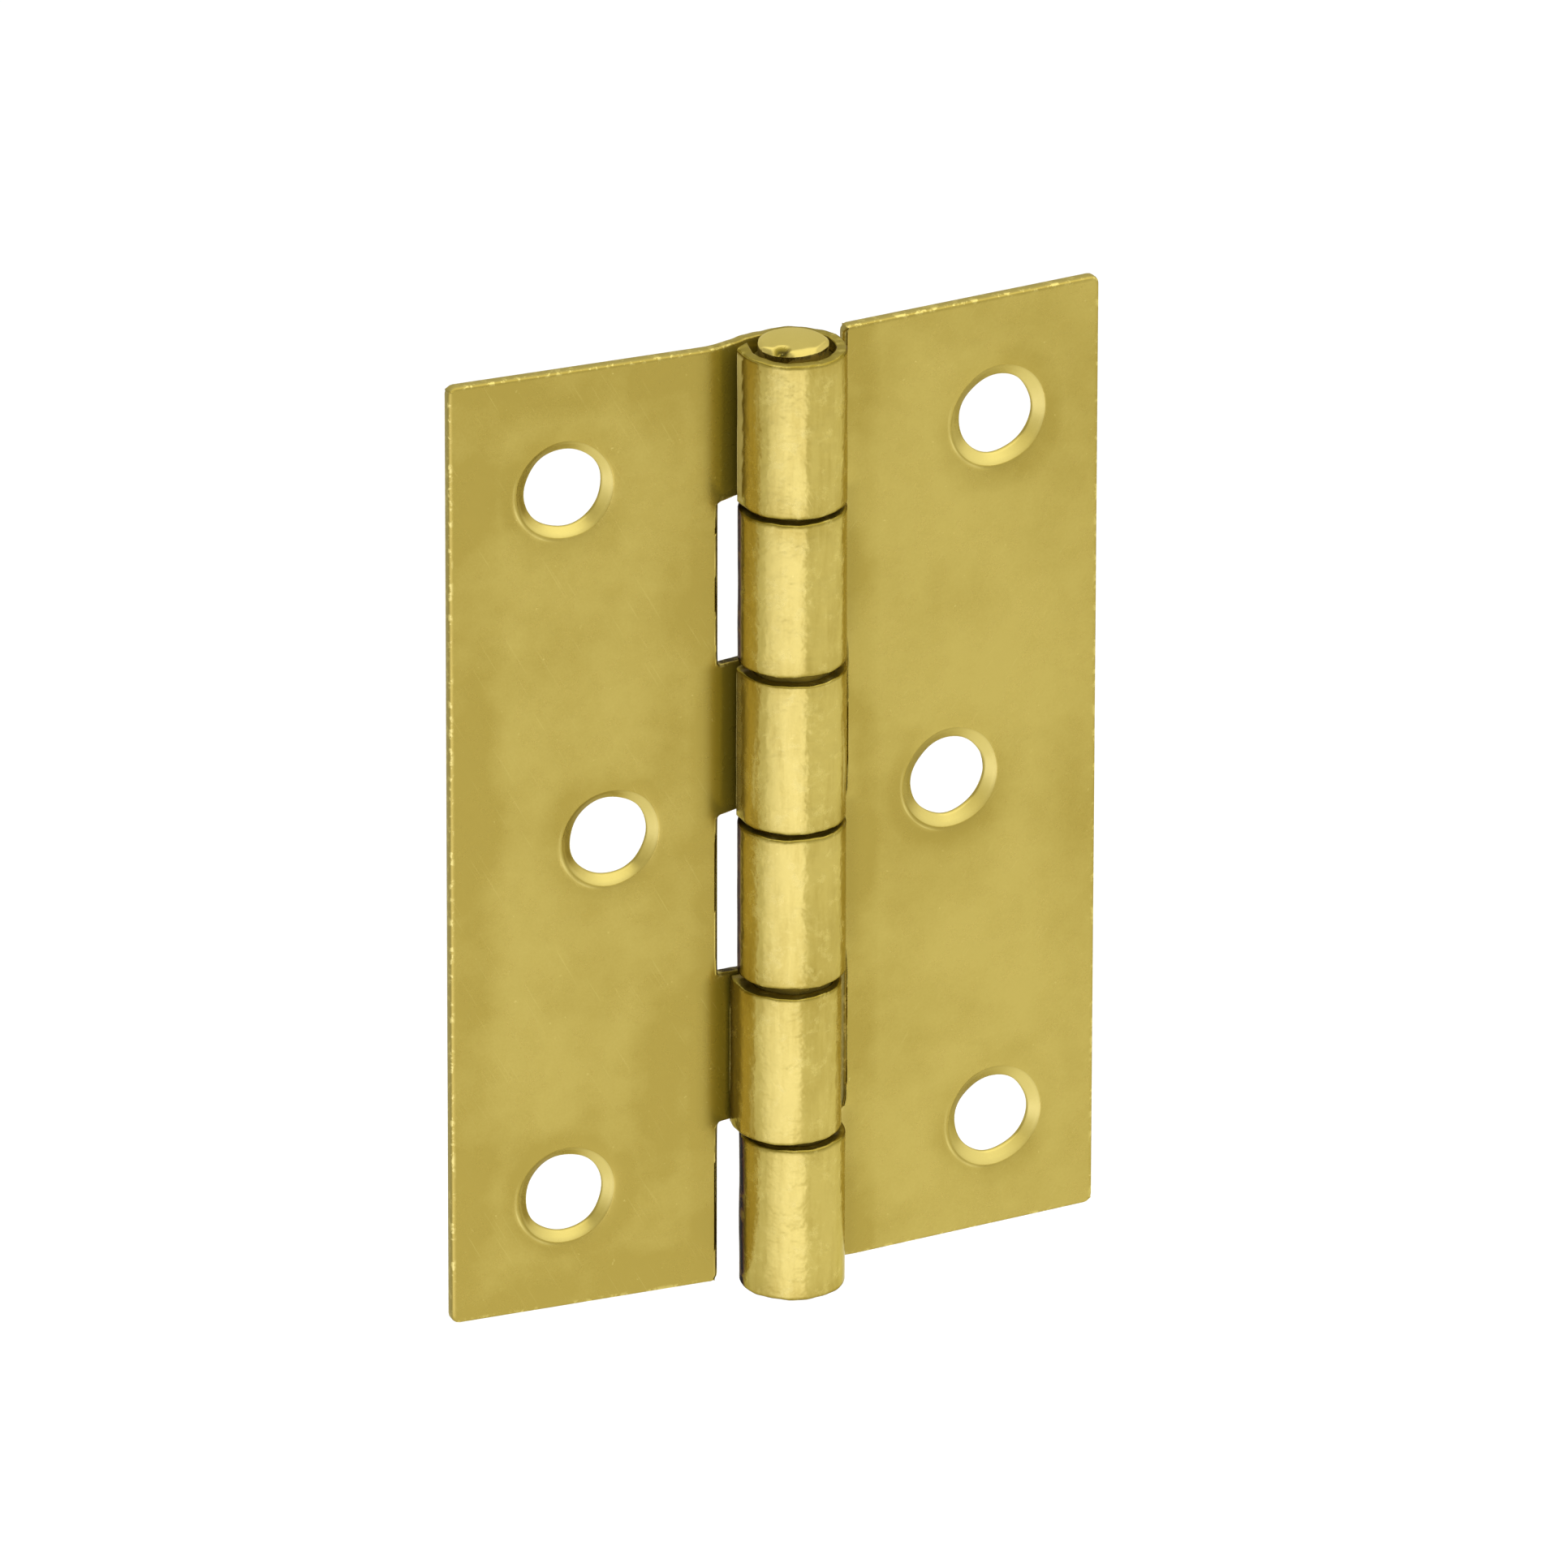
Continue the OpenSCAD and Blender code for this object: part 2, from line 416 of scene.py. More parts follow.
    def hole_wall(self, hs, hz, hole_r, a, shape):
        """Points down the countersink and through the hole at one angle: [s, z, h, wear, coined]."""
        mouth = self.look["mouth_r"] + shape.mouth(a)
        waist = hole_r + shape.waist(a)
        top, back = DIMPLE_DEPTH - SHEET_T / 2, SHEET_T / 2
        waist_h = CSK_DEPTH - SHEET_T / 2
        profile = [(mouth + 0.03, top + 0.01, 0.15, 0), (mouth, top + 0.03, 0.15, 0.8)]
        profile += [(mouth + (waist - mouth) * t, top + (waist_h - top) * t, 0, 1) for t in CSK_STEPS]
        profile += [
            (waist, waist_h + 0.03, 0.2, 0.5),
            (waist, back - HOLE_ARRIS, 0, 0),
            (waist + 0.3 * HOLE_ARRIS, back - 0.3 * HOLE_ARRIS, 0, 0),
        ]
        along, up = math.cos(a), math.sin(a)
        return [[hs + r * along, hz + r * up, h, wear, coined] for r, h, wear, coined in profile]

    def trim_rim(self):
        """Rounds the sheared outline: the faces' border points step in, and wall points go between."""
        for loop in border_loops(self.faces):
            if any(loop[0] in ring for ring, wall in self.loops):
                continue
            spots = np.array([self.front[v][:2] for v in loop])
            edge = np.roll(spots, -1, axis=0) - spots
            edge /= np.linalg.norm(edge, axis=1)[:, None]
            out = np.column_stack([edge[:, 1], -edge[:, 0]])
            out = out + np.roll(out, 1, axis=0)
            out /= np.linalg.norm(out, axis=1)[:, None]
            wall = [self.rim_wall(spot, way) for spot, way in zip(spots, out)]
            for v, spot, way in zip(loop, spots, out):
                front_r, back_r = arris_radii(spot[0])
                self.front[v][:2] = spot - way * front_r
                self.back[v][:2] = spot - way * back_r
                self.front[v][3] = self.back[v][3] = 0.5
            self.loops.append((loop, wall))

    def rim_wall(self, spot, way):
        """Points over the rim from the front face to the back at one border point."""
        front_r, back_r = arris_radii(spot[0])
        wall = []
        for side, r, angles in ((-1, front_r, ARRIS_ANGLES), (1, back_r, ARRIS_ANGLES[::-1])):
            for angle in angles:
                s, z = spot - way * r * (1 - sin(angle))
                h = side * (SHEET_T / 2 - r * (1 - cos(angle)))
                wall.append([s, z, h, 1 if angle < 90 else 0.3, 0])
        return wall

    def solid(self):
        """Points [s, z, h, wear, coined] and faces of the closed flat blank."""
        points = [[s, z, d - SHEET_T / 2, wear, coin] for s, z, d, wear, coin in self.front]
        points += [[s, z, SHEET_T / 2 - d, wear, coin] for s, z, d, wear, coin in self.back]
        shift = len(self.front)
        faces = list(self.faces)
        faces += [tuple(v + shift for v in face[::-1]) for face in self.faces]
        for loop, wall in self.loops:
            columns = []
            for v, between in zip(loop, wall):
                columns.append([v, *range(len(points), len(points) + len(between)), v + shift])
                points += between
            for a, b in zip(columns, columns[1:] + columns[:1]):
                faces += [(a[k], a[k + 1], b[k + 1], b[k]) for k in range(len(a) - 1)]
        return drop_unused(np.array(points, float), faces)


class Lobes:
    """The slightly uneven round of one hand-fed hole, as a few slow waves with seeded phases."""

    def __init__(self, seed):
        draw = np.random.default_rng(int(abs(seed) * 1000) + 7)
        self.phases = draw.uniform(0, 2 * math.pi, 6)

    def mouth(self, a):
        return waves_at(a, MOUTH_WAVES, self.phases[:3])

    def waist(self, a):
        return waves_at(a, WAIST_WAVES, self.phases[3:])


def waves_at(a, waves, phases):
    return sum(height * math.cos(count * a + phase) for (count, height), phase in zip(waves, phases))


def turn_from(direction, a):
    """Degrees, from -180 to 180, between a direction in degrees and the angle a in radians."""
    return (np.degrees(a) - direction + 180) % 360 - 180


def arris_radii(s):
    """Rounding of the sheet's front and back edges at distance s, which grows on the barrel."""
    t = float(np.clip((s - FLAT_END) / (CURL_START - FLAT_END), 0, 1))
    front_r = FRONT_ARRIS + (BORE_ARRIS - FRONT_ARRIS) * t
    back_r = BACK_ARRIS + (KNUCKLE_ARRIS - BACK_ARRIS) * t
    return front_r, back_r


def border_loops(faces):
    """The borders of a sheet of faces as loops of points, each with the metal on its left."""
    edges = {(a, b) for face in faces for a, b in zip(face, face[1:] + face[:1])}
    follow = {a: b for a, b in edges if (b, a) not in edges}
    loops = []
    while follow:
        loop = [min(follow)]
        while follow[loop[-1]] != loop[0]:
            loop.append(follow.pop(loop[-1]))
        follow.pop(loop[-1])
        loops.append(loop)
    return loops


def drop_unused(points, faces):
    used = sorted({v for face in faces for v in face})
    place = {v: k for k, v in enumerate(used)}
    return points[used], [tuple(place[v] for v in face) for face in faces]


# ---------------------------------------------------------------- leaves


def slow_noise(points, size, seed):
    """Smooth noise from -1 to 1 at each point, with features of the given size."""
    return np.array([noise.noise(Vector(p) / size + Vector((seed, 0, 0))) for p in points])


def move_ends(s, z, blank):
    """Shifts and small waves that the shear left in the knuckles' ends, fading within a millimetre."""
    moved = z.copy()
    seed = blank.look["seed"]
    edges = [edge for tongue in blank.tongues for edge in tongue]
    shifts = [shift for pair in blank.look["ends"] for shift in pair]
    curled = smooth_step(s, NOTCH_S, NOTCH_S + 2.5)
    for k, (edge, (root, curl)) in enumerate(zip(edges, shifts)):
        near = np.clip(1 - np.abs(z - edge), 0, 1) ** 2
        wave = END_WAVE * np.sin(1.9 * s + seed + 2.1 * k) + END_RIPPLE * np.sin(5.3 * s + 3 * seed + k)
        shift = root + (curl - root) * curled
        moved += near * (shift * np.clip(s - NOTCH_S + 1, 0, 1) + wave * np.clip(s - NOTCH_S - 1, 0, 1))
    return moved


def by_knuckle(z, tongues, values):
    """The value of the knuckle that each height lies in, and 0 between the knuckles."""
    found = np.zeros_like(z)
    for (low, high), value in zip(tongues, values):
        found[(z > low - 0.5) & (z < high + 0.5)] = value
    return found


def inside_tongue(z, tongues):
    """Distance from each height to the nearest end of a tongue, positive inside the tongues."""
    return np.max([np.minimum(z - low, high - z) for low, high in tongues], axis=0)


def notch_shift(s, z, blank):
    """Distance to move the plate's edge back in each notch, fading into the plate."""
    edges = [edge for tongue in blank.tongues for edge in tongue]
    shift = np.zeros_like(z)
    for k, back in enumerate(blank.look["notches"]):
        high = edges[2 * k] - NOTCH_CORNER_R
        low = edges[2 * k + 3] + NOTCH_CORNER_R if 2 * k + 3 < len(edges) else -2 * blank.half
        shift += back * ((z < high) & (z > low))
    return shift * smooth_step(s, NOTCH_S - 2, NOTCH_S - 0.3) * (s < NOTCH_S + 0.01)


def end_tip(s, h, slant):
    """Slants the tip's end and raises its lip. outer is 0 on the inside of the curl and 1 outside."""
    outer = 0.5 + h / SHEET_T
    share = np.clip((s - CURL_END + 1) / (SHEET_END - CURL_END + 1), 0, 1)
    s = s - slant * outer * share**1.5
    return s, h + TIP_LIP * outer * smooth_step(s, CURL_END + LIP_START, CURL_END + LIP_END)


def bend_sheet(points, blank):
    """The blank's points bent round the pin, with the slight unevenness of pressed sheet."""
    s, z, h = points[:, 0], points[:, 1], points[:, 2]
    look = blank.look
    slant = by_knuckle(z, blank.tongues, look["slants"])
    swell = by_knuckle(z, blank.tongues, look["swells"])
    lean = by_knuckle(z, blank.tongues, look["leans"]) * smooth_step(s, FLAT_END, CURL_START)
    s = s - notch_shift(s, z, blank)
    flat_share = smooth_step(-inside_tongue(z, blank.tongues), 0, FLAT_REACH) * (s < NOTCH_S + 0.01)
    z = move_ends(s, z, blank)
    flat = np.column_stack([s, z, np.zeros_like(s)])
    rolled = smooth_step(s, FLAT_END, CURL_START) * (h > 0)
    h = h + WAVINESS * slow_noise(flat, WAVINESS_SIZE, look["seed"])
    h += (RIPPLE + ROLLED_RIPPLE * rolled) * slow_noise(flat, RIPPLE_SIZE, look["seed"] + 5)
    s, h = end_tip(s, h, slant)
    x, y, heading = along_sheet(s)
    y += (AXIS_OFFSET - y) * flat_share
    heading *= 1 - flat_share
    side = -np.sin(heading)
    h = h + (swell * np.clip(side, 0, 1) ** 2 + lean * side) * (h > 0)
    return np.column_stack([x - h * np.sin(heading), y + h * np.cos(heading), z])


def smooth_step(values, start, end):
    t = np.clip((values - start) / (end - start), 0, 1)
    return t * t * (3 - 2 * t)


class Spots:
    """The points of a flat blank, and where each of them is on the leaf."""

    def __init__(self, points, blank):
        self.s, self.z, self.h, self.wear, self.coined = points.T
        self.blank = blank
        self.look = blank.look
        self.barrel = smooth_step(self.s, CURL_START - 1, CURL_START + 1)
        self.inside = inside_tongue(self.z, blank.tongues)
        self.sheared = (np.abs(self.h) < SHEET_T / 2 - DIMPLE_DEPTH - 0.02) * (1 - self.coined)
        # Start of the lip at the end of each curl, a ragged line
        self.lip_start = CURL_END - 0.35 + 0.08 * np.sin(4.1 * self.z) + 0.05 * np.sin(9.7 * self.z + 1)

    def by_knuckle(self, key):
        return by_knuckle(self.z, self.blank.tongues, self.look[key])


def hole_marks(spots):
    """Painted shade round the holes, painted highlights on the burrs, and painted shade and painted
    highlights in the countersinks.
    """
    look = spots.look
    halo, burr, shade, highlight = np.zeros((4, len(spots.s)))
    front = BURR_HIGHLIGHT * (spots.h < -0.2)
    for hs, hz, r in spots.blank.holes:
        along, up = spots.s - hs, spots.z - hz
        distance, a = np.hypot(along, up), np.arctan2(up, along)
        away = np.maximum(distance - look["mouth_r"], 0) / SHADE_HALO_REACH
        halo = np.maximum(halo, np.exp(-(away**2)))
        burr = np.maximum(burr, front * spots.blank.burr_share(a, distance))
        wall = spots.coined * (distance < PATCH)
        shade += CSK_SHADE * np.clip(cos_of(turn_from(look["csk_shade"], a)), 0, 1) ** 2 * wall
        for middle in look["csk_highlights"]:
            highlight += CSK_HIGHLIGHT * np.exp(-((turn_from(middle, a) / CSK_HIGHLIGHT_SPREAD) ** 4)) * wall
    return halo, burr, shade, highlight


def cos_of(angles):
    return np.cos(np.radians(angles))


def painted_shade_halo(spots, round_holes):
    """Painted shade round the dished holes, beside the crank and towards the knuckles' ends."""
    halo = np.maximum(round_holes, KNUCKLE_END_SHADE * spots.barrel * np.exp(-(spots.inside**2)))
    inner = smooth_step(spots.s, FLAT_END - INNER_REACH, FLAT_END) * (1 - spots.barrel)
    return np.maximum(halo, CRANK_SIDE_SHADE * inner) * (1 - spots.coined)


def edge_band_and_crank_shade(spots):
    """Darker band along the leaf's outer edges, and a wide band of painted shade towards the crank."""
    s = spots.s
    edge = np.minimum(s, spots.blank.half - np.abs(spots.z))
    band = (1 - smooth_step(edge, *BORDER_REACH)) * (1 - smooth_step(s, FLAT_END - 1.5, FLAT_END + 1.5))
    far, near = WIDE_REACH
    wide = WIDE_CRANK_SHADE * smooth_step(s, FLAT_END - far, FLAT_END - near) * (1 - spots.barrel)
    return np.maximum(band, wide) * spots.look["edge_darkening_and_crank_shade"]


def crank_shade(spots):
    """Painted shade on the front of the crank, which thins out up the curl."""
    s = spots.s
    start = smooth_step(s, FLAT_END + CRANK_SHADE_START, FLAT_END + CRANK_SHADE_FULL)
    run = 1 - smooth_step(s, CURL_START, CURL_START + CRANK_SHADE_RUN)
    in_tongue = smooth_step(spots.inside, -0.5, 0.5)
    return start * run * in_tongue * (spots.h < 0) * spots.look["edge_darkening_and_crank_shade"]


def knuckle_side_shade(spots):
    """Painted shade on the outside of the knuckles where they turn past the other leaf."""
    heading = along_sheet(spots.s)[2]
    side = np.clip(-np.sin(heading - math.radians(SIDE_SHADE_TURN)), 0, 1) ** SIDE_SHADE_FALLOFF
    return spots.by_knuckle("side_shade") * side * (spots.h > 0) * spots.barrel


def tongue_end_shade(spots):
    """Painted shade on the sheared ends of the tongues, apart from the leaf's top and bottom."""
    past_plate = smooth_step(spots.s, NOTCH_S + 0.1, NOTCH_S + 0.5)
    at_gap = (spots.inside < 0.1) * (np.abs(spots.z) < spots.blank.half - 1)
    amount = ROOT_SHADE + (GAP_SHADE - ROOT_SHADE) * spots.barrel
    return amount * spots.sheared * past_plate * at_gap


def lip_marks(spots):
    """Painted shade beside the lip at the end of each curl, and the painted highlight on the lip itself.
    """
    s, start = spots.s, spots.lip_start
    lip_shade = LIP_SIDE_SHADE * smooth_step(s, start - 0.45, start - 0.1) * (spots.h > 0)
    lip = smooth_step(s, start, start + 0.12) * (spots.h > 0.1) * (s < SHEET_END - 0.05)
    return lip_shade, lip * spots.by_knuckle("lip_highlights") * smooth_step(spots.inside, 0.15, 0.4)


def surface_marks(points, blank):
    """How far each point has each mark that the material follows. crease is olive painted shade up to 1,
    and above 1 near-black painted shade."""
    spots = Spots(points, blank)
    halo, burr, csk_shade, csk_highlight = hole_marks(spots)
    lip_side_shade, lip = lip_marks(spots)
    shade = [crank_shade(spots), knuckle_side_shade(spots), tongue_end_shade(spots), lip_side_shade, csk_shade]
    # Painted shade on the barrel's arrises
    shade.append(ARRIS_SHADE * spots.wear * spots.barrel)
    return {
        "wear": spots.wear * (1 - smooth_step(spots.s, FLAT_END, CURL_START)),
        "sheared": spots.sheared,
        "coined": spots.coined,
        "halo": painted_shade_halo(spots, halo),
        "border": edge_band_and_crank_shade(spots),
        "crease": np.max(shade, axis=0),
        "barrel": spots.barrel,
        "bared": np.max([lip, burr, csk_highlight], axis=0),
    }


def float_attribute(mesh, name, values):
    attribute = mesh.attributes.new(name, "FLOAT", "POINT")
    attribute.data.foreach_set("value", np.asarray(values, np.float32))


def build_mesh(name, points, faces, place, attributes):
    """A smooth-shaded object from points in millimetres, moved by place into the row frame."""
    mesh = bpy.data.meshes.new(name)
    mesh.from_pydata([place @ (Vector(p) * MM) for p in points], [], faces)
    for key, values in attributes.items():
        float_attribute(mesh, key, values)
    mesh.polygons.foreach_set("use_smooth", [True] * len(mesh.polygons))
    mesh.update()
    obj = bpy.data.objects.new(name, mesh)
    bpy.context.scene.collection.objects.link(obj)
    return obj


def build_leaf(name, place, mounts, look, material):
    """One leaf. place carries the leaf's own frame, whose origin is on the pin axis, to the row frame."""
    low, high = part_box(name)
    holes = []
    for mount in mounts:
        centre = place.inverted() @ Vector(mount["pos_m"]) / MM
        holes.append((LEAF_REACH + centre.x, centre.z, mount["dims"]["r_mm"]))
    blank = Blank((high.z - low.z) / MM, holes, look)
    points, faces = blank.solid()
    bent = bend_sheet(points, blank)
    leaf = build_mesh(name + "_skin", bent, faces, place, surface_marks(points, blank))
    leaf.data.materials.append(material)
    return leaf


# ---------------------------------------------------------------- pin

PIN_R = 2.86
PIN_FOOT_CHAMFER = 0.5
PIN_FOOT_FLAT_R = 1.2
PIN_SIDES = 96
# Heights, from the barrel's top, of the rings up the head's side and of the body's last three rings
HEAD_SIDE = (-0.8, -0.3, 0.1)
NECK_HEIGHTS = (-2.0, -0.95, -0.85)
# Radius of the hammered head by direction, in degrees
HEAD_OUTLINE = {
    -180: 2.45, -150: 2.40, -112: 2.20, -80: 2.10, -50: 2.20, -20: 2.42,
    10: 2.50, 40: 2.65, 70: 2.80, 110: 2.70, 150: 2.45,
}
HEAD_RINGS = 18
# Share of the crown's height that the dome falls by towards the pin's radius
HEAD_FALL = 0.35
# Drop of the head's rim, over the outer tenth of its radius
HEAD_RIM_DROP = 0.12
# Radius of the soft ridges between the head's flats
HEAD_RIDGE_R = 0.03
# (direction, distance from the axis, slope) of the flats that the hammer left round the head
HEAD_FACETS = ((-90, 1.6, 0.6), (-50, 1.9, 1.3), (22, 2.2, 0.9), (-135, 1.75, 1.5))
# Dent that the hammer left in the head, and the painted shade in it
DENT_DIRECTION = -138
DENT_DISTANCE = 1.8
DENT_R = 0.48
DENT_DEPTH = 0.3
DENT_SHADE = 2
# Painted shade on the pin below the barrel's top, and a painted highlight over the head apart from the
# dent
NECK_SHADE = 0.6
HEAD_HIGHLIGHT = 0.28


def head_edge(angle):
    """Radius of the hammered head at an angle in degrees, between the listed ones."""
    keys = sorted(HEAD_OUTLINE)
    return float(np.interp(angle, keys + [keys[0] + 360], [HEAD_OUTLINE[k] for k in keys + [keys[0]]]))


def head_height(x, y, crown):
    """Height of the hammered head above the barrel's end at a point."""
    heights = [crown * (1 - HEAD_FALL * (math.hypot(x, y) / PIN_R) ** 2)]
    for angle, start, slope in HEAD_FACETS:
        across = x * cos(angle) + y * sin(angle)
        heights.append(crown - slope * (across - start) + 0.02 * math.sin(3 * x + 2 * y))
    lowest = -HEAD_RIDGE_R * math.log(sum(math.exp(-h / HEAD_RIDGE_R) for h in heights))
    return lowest - DENT_DEPTH * dent_share(x, y)


def dent_share(x, y):
    """1 at the middle of the dent in the head, falling to 0 round it."""
    away = math.hypot(x - DENT_DISTANCE * cos(DENT_DIRECTION), y - DENT_DISTANCE * sin(DENT_DIRECTION))
    return math.exp(-((away / DENT_R) ** 4))


def body_rings(low, barrel_top):
    """(radius, height) of the rings from the foot to the top of the pin's round body."""
    chamfer_top = low + PIN_FOOT_CHAMFER
    above, neck, shoulder = [barrel_top + height for height in NECK_HEIGHTS]
    return [
        (PIN_FOOT_FLAT_R, low),
        (PIN_R - PIN_FOOT_CHAMFER - 0.06, low),
        (PIN_R - PIN_FOOT_CHAMFER, low + 0.02),
        (PIN_R - 0.04, chamfer_top - 0.03),
        (PIN_R, chamfer_top + 0.04),
        (PIN_R, above),
        (PIN_R, neck),
        (PIN_R - 0.1, shoulder),
    ]


def pin_rings(low, barrel_top, crown):
    """Rings of points [x, y, z, wear] from the pin's foot up to the middle of its head."""
    turns = [360 * k / PIN_SIDES - 180 for k in range(PIN_SIDES)]
    rings = [[(r * cos(a), r * sin(a), z, 0) for a in turns] for r, z in body_rings(low, barrel_top)]
    outline = [(head_edge(a) * cos(a), head_edge(a) * sin(a)) for a in turns]
    for rise in HEAD_SIDE:
        rings.append([(x, y, barrel_top + rise, 0) for x, y in outline])
    for k in range(HEAD_RINGS):
        share = 1 - (k / (HEAD_RINGS - 0.5)) ** 1.3
        base = barrel_top - HEAD_RIM_DROP * max(0, share - 0.9) / 0.1
        wear = 0.3 if share > 0.93 else 0
        inner = [(share * x, share * y) for x, y in outline]
        rings.append([(x, y, base + head_height(x, y, crown), wear) for x, y in inner])
    return rings


def ring_faces(rows):
    """Faces round the pin, and fans round the last two points, the middles of its foot and its head."""
    after = [(k + 1) % PIN_SIDES for k in range(PIN_SIDES)]
    faces = []
    for a in range(0, (rows - 1) * PIN_SIDES, PIN_SIDES):
        b = a + PIN_SIDES
        faces += [(a + k, a + after[k], b + after[k], b + k) for k in range(PIN_SIDES)]
    foot, top = rows * PIN_SIDES, rows * PIN_SIDES + 1
    last_row = (rows - 1) * PIN_SIDES
    for k in range(PIN_SIDES):
        faces += [(after[k], k, foot), (last_row + k, last_row + after[k], top)]
    return faces


def build_pin(place, low, high, barrel_top, material):
    """The pin: chamfered foot, plain body, and a hammered head."""
    crown = high - barrel_top
    rings = pin_rings(low, barrel_top, crown)
    points = [point for ring in rings for point in ring]
    points += [(0, 0, low, 0), (0, 0, barrel_top + head_height(0, 0, crown), 0)]
    x, y, z, wear = np.array(points).T
    dent = np.array([dent_share(*spot) for spot in zip(x, y)])
    # Painted shade in the dent and below the head, and a painted highlight on the rest of the head
    shade = np.where(z > barrel_top, DENT_SHADE * dent, NECK_SHADE)
    bared = HEAD_HIGHLIGHT * (z > barrel_top) * (shade < 0.2)
    marks = {"wear": wear, "crease": shade, "bared": bared}
    pin = build_mesh("hinge_pin_skin", np.column_stack([x, y, z]), ring_faces(len(rings)), place, marks)
    pin.data.materials.append(material)
    return pin


# ---------------------------------------------------------------- materials


class Nodes:
    """Short calls for building one material's node tree."""

    def __init__(self, name):
        self.material = bpy.data.materials.new(name)
        self.material.use_nodes = True
        self.tree = self.material.node_tree
        self.shader = self.tree.nodes["Principled BSDF"]
        coord = self.tree.nodes.new("ShaderNodeTexCoord")
        self.place = coord.outputs["Object"]

    def new(self, kind, inputs=None, **settings):
        node = self.tree.nodes.new("ShaderNode" + kind)
        for key, value in settings.items():
            setattr(node, key, value)
        for key, value in (inputs or {}).items():
            self.put(node.inputs[key], value)
        return node

    def put(self, socket, value):
        if isinstance(value, bpy.types.NodeSocket):
            self.tree.links.new(value, socket)
        else:
            socket.default_value = value

    def math(self, operation, a, b=0.0, clamp=False):
        node = self.new("Math", {0: a, 1: b}, operation=operation, use_clamp=clamp)
        return node.outputs[0]

    def ramp(self, value, low, high, to_low=0.0, to_high=1.0):
        node = self.new("MapRange", {0: value, 1: low, 2: high, 3: to_low, 4: to_high}, clamp=True)
        return node.outputs[0]

    def mix(self, share, a, b):
        node = self.new("Mix", {0: share, 6: a, 7: b}, data_type="RGBA")
        return node.outputs[2]

    def noise(self, scale, detail=2.0, rough=0.5, stretch=(1, 1, 1), turn=(0, 0, 0), shift=0.0):
        """Noise of features 1/scale millimetres across, stretched and turned as given."""
        per_metre = [scale / MM * part for part in stretch]
        turned = {"Vector": self.place, "Rotation": turn}
        spun = self.new("VectorRotate", turned, rotation_type="EULER_XYZ")
        mapped = self.new("Mapping", {0: spun.outputs[0], 1: (shift, shift, shift), 3: per_metre})
        settings = {"Vector": mapped.outputs[0], "Scale": 1.0, "Detail": detail, "Roughness": rough}
        return self.new("TexNoise", settings).outputs["Fac"]

    def attribute(self, name):
        return self.new("Attribute", attribute_name=name).outputs["Fac"]


BRASS = (0.480, 0.380, 0.088, 1)
# Darker colour, for the random dull tone and for painted shade
BRASS_DULL_AND_SHADED = (0.375, 0.284, 0.052, 1)
BRASS_BRIGHT = (0.68, 0.57, 0.17, 1)
BRASS_SHEARED = (0.28, 0.22, 0.045, 1)
# Colours of the painted shade: olive where it is light, near black where it is deep
SHADE_OLIVE = (0.17, 0.124, 0.004, 1)
SHADE_BLACK = (0.045, 0.034, 0.003, 1)
FLOOR_DARK = (0.84, 0.84, 0.84, 1)
FLOOR_LIGHT = (0.88, 0.88, 0.88, 1)
FLOOR_ROUGHNESS = 0.9
# Tint of the reflection at a grazing angle
BRASS_GRAZING = (0.80, 0.74, 0.42, 1)
SURFACE_MARKS = ("wear", "sheared", "coined", "halo", "border", "crease", "barrel", "bared")

PLATE_ROUGHNESS = (0.25, 0.31)
BARREL_SMOOTHNESS = 0.08
SCUFF_ROUGHNESS = 0.12
BARED_ROUGHNESS = 0.2
# Metallic where the surface is all painted shade or painted highlight. The deepest painted shade has 1,
# which keeps it black.
CHALKY_METALLIC = 0.4
COAT_WEIGHT = 0.1
COAT_ROUGHNESS = 0.22
# Relief in millimetres: the grain, the hair scratches, and the dents on the plate and on the barrel
GRAIN_HEIGHT = 0.0025
HAIR_DEPTH = 0.003
PLATE_DENTS = 0.03
BARREL_DENTS = 0.16
RELIEF_STRENGTH = 0.6


def brass(name, shift, scratch_turn, dullness=0.0):
    """Satin brass: cloudy tone, fine grain, hair scratches and worn arrises. shift moves the noise and
    scratch_turn turns the scratches, so that no two pieces are alike. dullness is the plate's alone."""
    n = Nodes(name)
    texture = brass_texture(n, shift, scratch_turn)
    mark = SimpleNamespace(**{key: n.attribute(key) for key in SURFACE_MARKS})
    colour = n.mix(dull_and_shade_share(n, texture, mark, dullness), BRASS, BRASS_DULL_AND_SHADED)
    n.put(n.shader.inputs["Base Color"], brass_colour(n, texture, mark, colour))
    n.put(n.shader.inputs["Roughness"], brass_roughness(n, texture, mark))
    n.put(n.shader.inputs["Metallic"], brass_metallic(n, mark))
    # The grazing reflection's tint turns to the painted shade's olive where painted shade lies
    n.put(n.shader.inputs["Specular Tint"], n.mix(n.ramp(mark.crease, 0, 1), BRASS_GRAZING, SHADE_OLIVE))
    n.put(n.shader.inputs["Normal"], brass_relief(n, texture, mark))
    n.shader.inputs["Coat Weight"].default_value = COAT_WEIGHT
    n.shader.inputs["Coat Roughness"].default_value = COAT_ROUGHNESS
    return n.material


def brass_texture(n, shift, scratch_turn):
    """The noises that the brass is made of, each with its own place in the noise."""
    hairs = n.noise(1.0, 1.0, 0.5, stretch=(9, 9, 0.2), turn=scratch_turn, shift=shift + 11)
    return SimpleNamespace(
        clouds=n.noise(0.10, 3.0, 0.55, shift=shift),
        blotches=n.noise(0.5, 3.0, 0.6, shift=shift + 3),
        grain=n.noise(6.0, 3.0, 0.7, shift=shift + 7),
        streaks=n.noise(1.0, 3.0, 0.6, stretch=(1.6, 1.6, 0.22), shift=shift + 9),
        hair=n.ramp(hairs, 0.68, 0.76),
        specks=n.ramp(n.noise(2.2, 2.0, 0.7, shift=shift + 13), 0.72, 0.78),
        chips=n.ramp(n.noise(1.4, 3.0, 0.7, shift=shift + 17), 0.53, 0.60),
        scuffs=n.ramp(n.noise(0.9, 6.0, 0.72, shift=shift + 21), 0.52, 0.66),
    )


